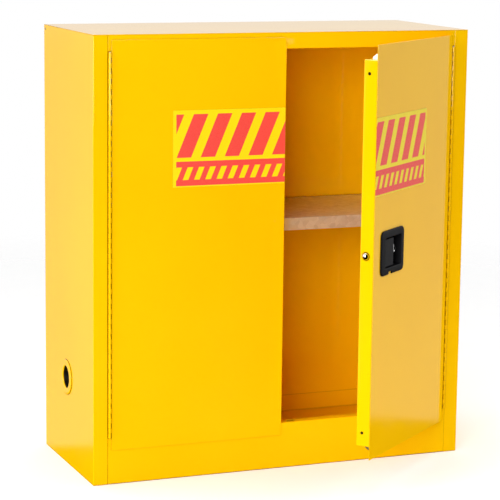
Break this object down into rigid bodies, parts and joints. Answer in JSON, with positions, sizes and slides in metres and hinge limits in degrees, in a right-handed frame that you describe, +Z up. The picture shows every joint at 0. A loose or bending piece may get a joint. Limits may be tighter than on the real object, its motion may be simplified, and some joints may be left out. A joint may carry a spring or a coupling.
{
  "type": "flammable storage cabinet",
  "caption": "Yellow double-walled steel cabinet with piano-hinged doors, paddle latch with top, bottom and side bolts, a galvanised shelf, sump and side vents.",
  "frame": {"origin": "middle of the cabinet body's underside, on the floor", "axes": "+X right, +Y towards the back, +Z up; the doors face -Y"},
  "size_m": [1.0266, 0.7284, 1.13],
  "materials": {
    "yellow_enamel": "gloss safety-yellow baked enamel on 18 gauge steel",
    "galvanised_steel": "satin galvanised sheet",
    "black_plastic": "satin moulded black plastic",
    "zinc_plated_steel": "zinc plated steel",
    "polished_steel": "polished stainless steel",
    "white_nylon": "natural white nylon",
    "label_film": "printed vinyl film, yellow with a red hazard pattern"
  },
  "bodies": {
    "cabinet": {"side_panel_left": "yellow_enamel", "side_panel_right": "yellow_enamel", "back_panel": "yellow_enamel", "top_panel": "yellow_enamel", "bottom_panel": "yellow_enamel", "front_sill": "yellow_enamel", "top_rail": "yellow_enamel", "liner_left": "yellow_enamel", "liner_right": "yellow_enamel", "liner_back": "yellow_enamel", "liner_top": "yellow_enamel", "sump_pan": "yellow_enamel", "shelf": "galvanised_steel", "shelf_standard_left_front": "galvanised_steel", "shelf_standard_left_rear": "galvanised_steel", "shelf_standard_right_front": "galvanised_steel", "shelf_standard_right_rear": "galvanised_steel", "shelf_clip_left_front": "zinc_plated_steel", "shelf_clip_left_rear": "zinc_plated_steel", "shelf_clip_right_front": "zinc_plated_steel", "shelf_clip_right_rear": "zinc_plated_steel", "vent_fitting_left": "yellow_enamel", "vent_fitting_right": "yellow_enamel", "flame_arrester_left": "zinc_plated_steel", "flame_arrester_right": "zinc_plated_steel", "ground_screw": "zinc_plated_steel", "hinge_frame_leaf_left": "yellow_enamel", "hinge_frame_leaf_right": "yellow_enamel", "hinge_pin_left": "zinc_plated_steel", "hinge_pin_right": "zinc_plated_steel"},
    "left_door": {"left_door_skin": "yellow_enamel", "left_door_pan": "yellow_enamel", "hinge_door_leaf_left": "yellow_enamel", "left_label": "label_film", "strike_plate": "zinc_plated_steel", "left_top_guide": "black_plastic", "left_bottom_guide": "black_plastic"},
    "right_door": {"right_door_skin": "yellow_enamel", "right_door_pan": "yellow_enamel", "hinge_door_leaf_right": "yellow_enamel", "right_label": "label_film", "handle_bezel": "black_plastic", "paddle_pin": "zinc_plated_steel", "paddle_spring": "zinc_plated_steel", "lock_barrel": "polished_steel", "cam_stud": "zinc_plated_steel", "upper_rod_guide": "black_plastic", "lower_rod_guide": "black_plastic"},
    "paddle": {"paddle": "black_plastic"},
    "lock_plug": {"lock_plug": "polished_steel"},
    "latch_cam": {"latch_cam": "zinc_plated_steel"},
    "upper_rod": {"upper_rod": "zinc_plated_steel", "upper_rod_tip": "white_nylon"},
    "lower_rod": {"lower_rod": "zinc_plated_steel", "lower_rod_tip": "zinc_plated_steel"},
    "latch_bolt": {"latch_bolt": "polished_steel"},
    "left_top_bolt": {"left_top_bolt": "zinc_plated_steel"},
    "left_bottom_bolt": {"left_bottom_bolt": "zinc_plated_steel"}
  },
  "joints": [
    {"name": "left_door_hinge", "type": "hinge", "parent": "cabinet", "child": "left_door", "pos_m": [-0.4675, -0.2167, 0.6], "axis": [0, 0, 1], "range_deg": [-180, 0]},
    {"name": "right_door_hinge", "type": "hinge", "parent": "cabinet", "child": "right_door", "pos_m": [0.4675, -0.2167, 0.6], "axis": [0, 0, 1], "range_deg": [-40, 140]},
    {"name": "paddle_pull", "type": "hinge", "parent": "right_door", "child": "paddle", "pos_m": [0.15921, -0.46925, 0.6], "axis": [0, 0, -1], "range_deg": [0, 35], "stiffness_Nm_per_rad": 0.8, "springref_deg": -5.73},
    {"name": "key_turn", "type": "hinge", "parent": "right_door", "child": "lock_plug", "pos_m": [0.2079, -0.42382, 0.603], "axis": [0.6428, -0.766, 0], "range_deg": [0, 90]},
    {"name": "cam_turn", "type": "hinge", "parent": "right_door", "child": "latch_cam", "pos_m": [0.12735, -0.4764, 0.6005], "axis": [-0.6428, 0.766, 0], "range_deg": [0, 40]},
    {"name": "upper_rod_slide", "type": "slide", "parent": "right_door", "child": "upper_rod", "axis": [0, 0, 1], "range_m": [-0.01094, 0]},
    {"name": "lower_rod_slide", "type": "slide", "parent": "right_door", "child": "lower_rod", "axis": [0, 0, 1], "range_m": [0, 0.01094]},
    {"name": "latch_bolt_slide", "type": "slide", "parent": "right_door", "child": "latch_bolt", "axis": [0.766, 0.6428, 0], "range_m": [0, 0.00889]},
    {"name": "left_top_bolt_slide", "type": "slide", "parent": "left_door", "child": "left_top_bolt", "axis": [0, 0, 1], "range_m": [0, 0.014]},
    {"name": "left_bottom_bolt_slide", "type": "slide", "parent": "left_door", "child": "left_bottom_bolt", "axis": [0, 0, -1], "range_m": [0, 0.014]}
  ],
  "couplings": [
    {"joint": "cam_turn", "follows": "paddle_pull", "ratio": 1.1428},
    {"joint": "upper_rod_slide", "follows": "paddle_pull", "m_per_rad": -0.017915},
    {"joint": "lower_rod_slide", "follows": "paddle_pull", "m_per_rad": 0.017915},
    {"joint": "latch_bolt_slide", "follows": "paddle_pull", "m_per_rad": 0.014556}
  ]
}
